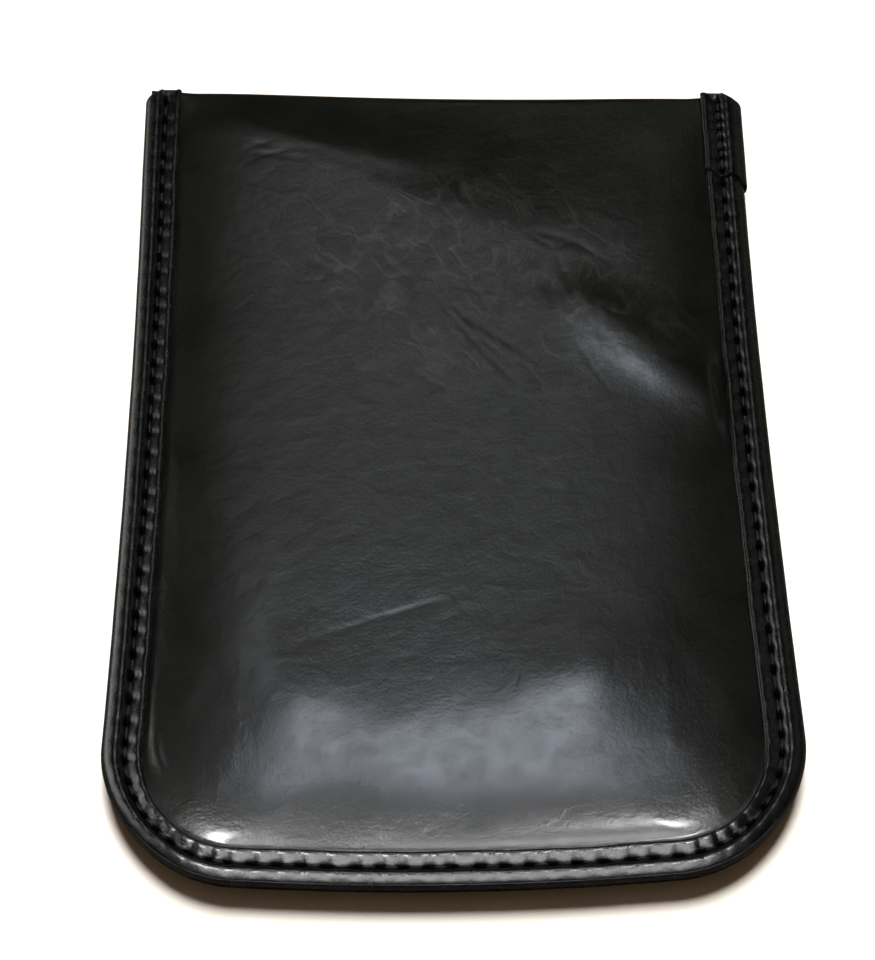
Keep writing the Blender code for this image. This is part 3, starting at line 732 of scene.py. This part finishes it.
def strip_profile(count, step):
    """Smooth (inset, rise) points round the folded strip, from its front edge to its back edge."""
    section = np.array(STRIP_SECTION)
    front = section + [0, STRIP_FACE]
    back = (section * [1, 0.6] + [0, STRIP_FACE]) * [1, -1]
    loop = np.concatenate([front, back[-2::-1]])
    outward = np.clip(1 - loop[:, 0] / 0.0015, 0, 1)
    loop[:, 0] += np.where(loop[:, 0] > GROOVE_INSET, step * 0.6, -step * outward)
    loop[:, 1] += step * np.sign(loop[:, 1]) * (1 - outward * 0.6)
    padded = np.concatenate([[2 * loop[0] - loop[1]], loop, [2 * loop[-1] - loop[-2]]])
    where = np.linspace(0, len(loop) - 1 - 1e-9, count)
    at = where.astype(int)
    t = (where - at)[:, None]
    p0, p1, p2, p3 = (padded[at + k] for k in range(4))
    square = (2 * p0 - 5 * p1 + 4 * p2 - p3) * t**2
    cube = (3 * p1 - p0 - 3 * p2 + p3) * t**3
    return (2 * p1 + (p2 - p0) * t + square + cube) / 2


def hole_places(low, high, pitch, seed):
    """Needle holes along a seam, a little unevenly spaced."""
    count = int(round((high - low) / pitch))
    places = np.linspace(low, high, count + 1)
    rng = np.random.default_rng(seed)
    places[1:-1] += rng.uniform(-0.14, 0.14, count - 1) * pitch
    return places


def press_stitches(s, inset, rise, holes):
    """The strip's rise with a pit pressed in at each hole, and how much of each point is pit or groove: the
    mask for the painted shade there.
    """
    nearest = np.min(np.abs(s[..., None] - holes), axis=-1)
    pit = bell(nearest, 0.00085)
    front = np.clip(rise / STRIP_FACE, -1, 1)
    pressed = 0.00060 * bell(inset - GROOVE_INSET, 0.00065) + 0.00022 * bell(inset - 0.0058, 0.0009)
    pressed = pressed + 0.00008 * bell(inset - 0.0028, 0.0008)
    sunk = bell(inset - GROOVE_INSET, 0.00065) * mix(0.4, 1.0, bell(nearest, 0.0014))
    sunk = sunk * (np.abs(rise) > STRIP_FACE / 2)
    return rise - front * pressed * pit, sunk


def make_strip(name, s_range, holes, step, leather, cut_edge, cut=None):
    rim = Rim()
    profile = strip_profile(PROFILE_POINTS, step)
    s = stations(*s_range, PATH_STEP)
    grid_s = np.repeat(s[:, None], len(profile), axis=1)
    inset = np.repeat(profile[None, :, 0], len(s), axis=0)
    rise = np.repeat(profile[None, :, 1], len(s), axis=0)
    if cut is not None:
        grid_s = cut(grid_s, inset)
    low = smooth(rim.outline(grid_s)[3] * 1.2)
    inset = mix(inset, GROOVE_INSET + (inset - GROOVE_INSET) * 0.8, low)
    from_end = np.minimum(grid_s, rim.length - grid_s)
    face = np.sign(rise) * (STRIP_FACE + step + 0.0001)
    flat = smooth((inset - 0.0026) / 0.0008) * smooth((0.0072 - inset) / 0.0006)
    flat = flat * (1 - smooth(from_end / 0.003))
    rise = mix(rise, face, flat * (np.abs(rise) > STRIP_FACE / 2))
    short = np.clip(1 - from_end / END_ROUND, 0, 1)
    rounded = END_ROUND * (1 - np.sqrt(np.clip(1 - short**2, 0, 1)))
    inset = inset + rounded * np.clip(1 - inset / GROOVE_INSET, 0, 1)
    rise, painted_pit_shade = press_stitches(grid_s, inset, rise, holes)
    wander = 0.00007 * np.sin(grid_s * 190 + 1) + 0.00005 * np.sin(grid_s * 430 + 2)
    inset = inset + wander * np.clip(inset / BINDING_WIDTH, 0.2, 1)
    points = rim.point(grid_s, inset, rise)
    strip = grid_object(name, points, leather)
    # The pit and groove mask goes on the mesh as "sunk", where the binding's material paints shade.
    strip.data.attributes.new("sunk", "FLOAT", "POINT").data.foreach_set("value", painted_pit_shade.ravel())
    return thicken(strip, STRIP, cut_edge)


def stitch_mesh(name, holes, side, step, thread):
    """One short bowed thread from each hole to the next, its ends going down into the leather."""
    rim = Rim()
    turns = np.linspace(0, 2 * pi, THREAD_SIDES, endpoint=False)
    t = np.linspace(-1, 1, THREAD_RINGS)
    arch = 1 - np.abs(t) ** 3
    depth = STRIP_FACE - 0.00050 + step + mix(-0.00080, -0.00014, arch)
    size = THREAD_RADIUS * mix(0.55, 1.0, np.sqrt(np.clip(arch, 0, 1)))
    points, faces = [], []

    def add_face(face):
        faces.append(face if side < 0 else face[::-1])

    for first, last in zip(holes[:-1], holes[1:]):
        s = (first + last) / 2 + (last - first) / 2 * THREAD_REACH * t
        ring_s = np.repeat(s[:, None], THREAD_SIDES, axis=1)
        ring_inset = GROOVE_INSET + size[:, None] * np.cos(turns)
        ring_rise = side * (depth[:, None] + size[:, None] * 0.85 * np.sin(turns))
        base = len(points) * THREAD_RINGS * THREAD_SIDES
        points.append(rim.point(ring_s, ring_inset, ring_rise).reshape(-1, 3))
        for ring in range(THREAD_RINGS - 1):
            here = base + ring * THREAD_SIDES
            ahead = here + THREAD_SIDES
            for j in range(THREAD_SIDES):
                k = (j + 1) % THREAD_SIDES
                add_face([here + j, here + k, ahead + k, ahead + j])
        add_face([base + j for j in range(THREAD_SIDES)][::-1])
        add_face([ahead + j for j in range(THREAD_SIDES)])
    return mesh_object(name, np.concatenate(points), faces, thread)


def make_binding(leather, cut_edge, thread):
    rim = Rim()
    lap_start = rim.length - LAP_LENGTH
    holes = hole_places(0.0026, lap_start - 0.0012, STITCH_PITCH, 4)
    strip = make_strip("binding_strip", (0, rim.length), holes, 0.0, leather, cut_edge)
    add_piece(strip, "pouch", "leather", "edge_binding")

    lap_holes = hole_places(lap_start + 0.0022, rim.length - 0.0018, LAP_PITCH, 9)

    def cut(s, inset):
        """The lap's lower end: cut on the slant, and hanging lower round its outer edge."""
        slant = 0.0018 * smooth((inset - 0.0045) / 0.0033)
        hang = 0.0014 * smooth((0.0014 - inset) / 0.0014)
        end = lap_start + slant - hang + 0.0004 * bell(inset - 0.0026, 0.0010)
        return end + (s - lap_start) * (rim.length - end) / LAP_LENGTH

    lap = make_strip("binding_lap", (lap_start, rim.length), lap_holes, LAP_STEP, leather, cut_edge, cut)
    add_piece(lap, "pouch", "leather", "binding_end_lap")
    for face, side in (("front", 1), ("back", -1)):
        stitches = stitch_mesh("binding_stitches_" + face, holes, side, 0.0, thread)
        add_piece(stitches, "pouch", "thread", "binding_thread_" + face)
        stitches = stitch_mesh("lap_stitches_" + face, lap_holes, side, LAP_STEP, thread)
        add_piece(stitches, "pouch", "thread", "lap_thread_" + face)


# ---------------------------------------------------------------- carried-over nodes


def dress(names, material):
    for name in names:
        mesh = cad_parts[name].data
        mesh.materials.clear()
        mesh.materials.append(material)


# ---------------------------------------------------------------- studio


def make_floor():
    nodes = Nodes("pale_floor")
    cloud = nodes.noise(nodes.scaled((0.4, 0.4, 0.4)), 1.0, 2)
    pale = nodes.blend_colours(cloud, (0.88, 0.84, 0.79), (0.90, 0.86, 0.81))
    nodes.set(Roughness=0.9, Specular_IOR_Level=0.1)
    # Painted shade in reflections: in the leather's reflections the floor is painted near black, while the
    # camera and the light see it pale.
    mirrored = nodes.tree.nodes.new("ShaderNodeLightPath").outputs["Is Glossy Ray"]
    nodes.set(Base_Color=nodes.blend_colours(mirrored, pale, (0.08, 0.07, 0.06)))
    corners = np.array([[(-3, -3, 0), (3, -3, 0)], [(-3, 3, 0), (3, 3, 0)]], float)
    floor = grid_object("studio_floor", corners, nodes.material)


def aim(obj, place, target):
    obj.location = place
    obj.rotation_euler = (Vector(target) - Vector(place)).to_track_quat("-Z", "Y").to_euler()


def add_key_light():
    """A broad, even light from behind and above. The softboxes stand in for it in reflections."""
    light = bpy.data.lights.new("key_light", "SUN")
    light.energy = 6.0
    light.angle = radians(26)
    light.color = (1.0, 0.98, 0.95)
    obj = bpy.data.objects.new("key_light", light)
    bpy.context.scene.collection.objects.link(obj)
    aim(obj, (0.02, 0.62, 1.0), (0, 0, 0))
    obj.visible_glossy = False


# What the leather mirrors: each softbox's angle to the right, its elevation from straight behind and its half
# sizes (all in degrees), its softness, colour and brightness.
SOFTBOXES = (
    (-3, 61, 12.5, 12, 0.9, (1.0, 1.0, 0.92), 0.36),
    (3, 53.5, 9, 4, 1.0, (0.94, 1.0, 1.02), 0.75),
    (1, 78, 6, 5.5, 0.6, (0.88, 0.96, 1.10), 12.0),
    (-4, 98, 9, 12, 0.7, (0.97, 0.98, 1.0), 0.75),
    (-17.5, 112, 4.2, 5, 0.4, (1.0, 1.0, 1.0), 100.0),
    (13.5, 105.5, 4.5, 3, 0.4, (1.0, 1.0, 1.0), 110.0),
    (2, 128, 22, 7, 0.5, (1.0, 1.0, 1.0), 11.0),
    (-13, 63, 4, 3.5, 0.8, (0.9, 0.95, 1.05), 2.0),
    (-64, 60, 5, 28, 0.6, (1.0, 1.0, 1.0), 5.0),
    (56, 60, 4, 28, 0.6, (1.0, 1.0, 1.0), 0.3),
)
# The dim sky overhead in reflections, and the even light that everything else gets from the sky.
REFLECTED_BASE = 0.07
AMBIENT = 0.08


def make_world():
    """A studio in the reflections: softboxes on a dim sky. Other light from the sky is even."""
    world = bpy.data.worlds.new("studio")
    bpy.context.scene.world = world
    world.use_nodes = True
    world.cycles.sampling_method = "NONE"
    tree = world.node_tree
    tree.nodes.clear()

    def node(kind, **settings):
        made = tree.nodes.new(kind)
        for key, value in settings.items():
            setattr(made, key, value)
        return made

    def math(operation, first, second=0.0):
        made = node("ShaderNodeMath", operation=operation)
        for socket, value in zip(made.inputs, (first, second)):
            if isinstance(value, bpy.types.NodeSocket):
                tree.links.new(value, socket)
            else:
                socket.default_value = value
        return made.outputs[0]

    direction = node("ShaderNodeTexCoord").outputs["Generated"]

    def against(axis):
        made = node("ShaderNodeVectorMath", operation="DOT_PRODUCT")
        tree.links.new(direction, made.inputs[0])
        made.inputs[1].default_value = axis
        return made.outputs["Value"]

    def ramp(value, low, high, to_low, to_high):
        made = node("ShaderNodeMapRange", interpolation_type="SMOOTHSTEP")
        tree.links.new(value, made.inputs["Value"])
        made.inputs["From Min"].default_value = low
        made.inputs["From Max"].default_value = high
        made.inputs["To Min"].default_value = to_low
        made.inputs["To Max"].default_value = to_high
        return made.outputs["Result"]

    up = against((0, 0, 1))
    sky = ramp(up, 0.68, 0.9, 0.0, REFLECTED_BASE)
    colour = node("ShaderNodeCombineColor")
    for socket in colour.inputs:
        tree.links.new(sky, socket)
    seen = colour.outputs[0]
    for side, elevation, half_width, half_height, softness, tint, strength in SOFTBOXES:
        turn = Matrix.Rotation(radians(elevation), 3, "X") @ Matrix.Rotation(-radians(side), 3, "Z")
        x = math("DIVIDE", against(turn @ Vector((1, 0, 0))), sin(radians(half_width)))
        y = math("DIVIDE", against(turn @ Vector((0, 0, 1))), sin(radians(half_height)))
        ahead = ramp(against(turn @ Vector((0, 1, 0))), 0.0, 0.05, 0.0, 1.0)
        powers = math("ADD", math("POWER", math("ABSOLUTE", x), 4.0), math("POWER", math("ABSOLUTE", y), 4.0))
        far = math("POWER", powers, 0.25)
        spot = math("MULTIPLY", ramp(far, 1 - softness, 1 + softness, strength, 0.0), ahead)
        add = node("ShaderNodeVectorMath", operation="MULTIPLY_ADD")
        scale = node("ShaderNodeCombineXYZ")
        for socket in scale.inputs:
            tree.links.new(spot, socket)
        tree.links.new(scale.outputs[0], add.inputs[0])
        add.inputs[1].default_value = tint
        tree.links.new(seen, add.inputs[2])
        seen = add.outputs[0]
    mirrored = node("ShaderNodeBackground")
    tree.links.new(seen, mirrored.inputs["Color"])
    even = node("ShaderNodeBackground")
    even.inputs["Color"].default_value = (1, 0.66, 0.36, 1)
    even.inputs["Strength"].default_value = AMBIENT
    choice = node("ShaderNodeMixShader")
    tree.links.new(node("ShaderNodeLightPath").outputs["Is Glossy Ray"], choice.inputs["Fac"])
    tree.links.new(even.outputs[0], choice.inputs[1])
    tree.links.new(mirrored.outputs[0], choice.inputs[2])
    backdrop = node("ShaderNodeBackground")
    backdrop.inputs["Color"].default_value = (1, 0.99, 0.98, 1)
    behind = node("ShaderNodeMixShader")
    tree.links.new(node("ShaderNodeLightPath").outputs["Is Camera Ray"], behind.inputs["Fac"])
    tree.links.new(choice.outputs[0], behind.inputs[1])
    tree.links.new(backdrop.outputs[0], behind.inputs[2])
    output = node("ShaderNodeOutputWorld")
    tree.links.new(behind.outputs[0], output.inputs["Surface"])


def make_camera():
    """A short telephoto view from over the rounded bottom, 58 degrees above the table."""
    elevation = radians(58.0)
    azimuth = radians(-0.114)
    roll = radians(-0.8)
    distance = 0.4257
    target = Vector((-0.00266, -0.00673, 0.006))
    data = bpy.data.cameras.new("camera")
    data.sensor_width = 36
    data.lens = 82.52
    data.clip_start = 0.01
    camera = bpy.data.objects.new("camera", data)
    bpy.context.scene.collection.objects.link(camera)
    back = Vector((sin(azimuth) * cos(elevation), -cos(azimuth) * cos(elevation), sin(elevation)))
    camera.location = target + back * distance
    turn = (-back).to_track_quat("-Z", "Y").to_matrix() @ Matrix.Rotation(roll, 3, "Z")
    camera.rotation_euler = turn.to_euler()
    bpy.context.scene.camera = camera


def main():
    scene = bpy.context.scene
    scene.view_settings.view_transform = "Standard"
    make_camera()
    make_world()
    make_floor()
    add_key_light()

    panel_leather = make_panel_leather()
    strip_leather = make_strip_leather()
    thread = make_thread()
    cut_edge = make_cut_edge()
    nickel = make_nickel()
    lining = make_woven("lining_cloth", (0.010, 0.010, 0.011), (0.045, 0.045, 0.048), 0.00022, radians(45))
    tape = make_woven("zip_tape_weave", (0.008, 0.008, 0.009), (0.034, 0.034, 0.037), 0.00035, radians(32))

    make_front(panel_leather, cut_edge)
    make_front_lining(lining)
    make_back(panel_leather, cut_edge)
    make_binding(strip_leather, cut_edge, thread)
    dress(("back_lining",), lining)
    dress(("zipper_tape_upper", "zipper_tape_lower"), tape)
    dress(("zipper_coil_upper", "zipper_coil_lower"), make_nylon())
    stops = ("zipper_top_stop_upper", "zipper_top_stop_lower", "zipper_bottom_stop")
    dress((*stops, "zipper_slider", "zipper_pull", "d_ring_left", "d_ring_right"), nickel)
    dress(("hanger_tab_left", "hanger_tab_right"), strip_leather)
    threads = ("zipper_thread_upper", "zipper_thread_lower", "hanger_thread_left", "hanger_thread_right")
    dress(threads, thread)


main()
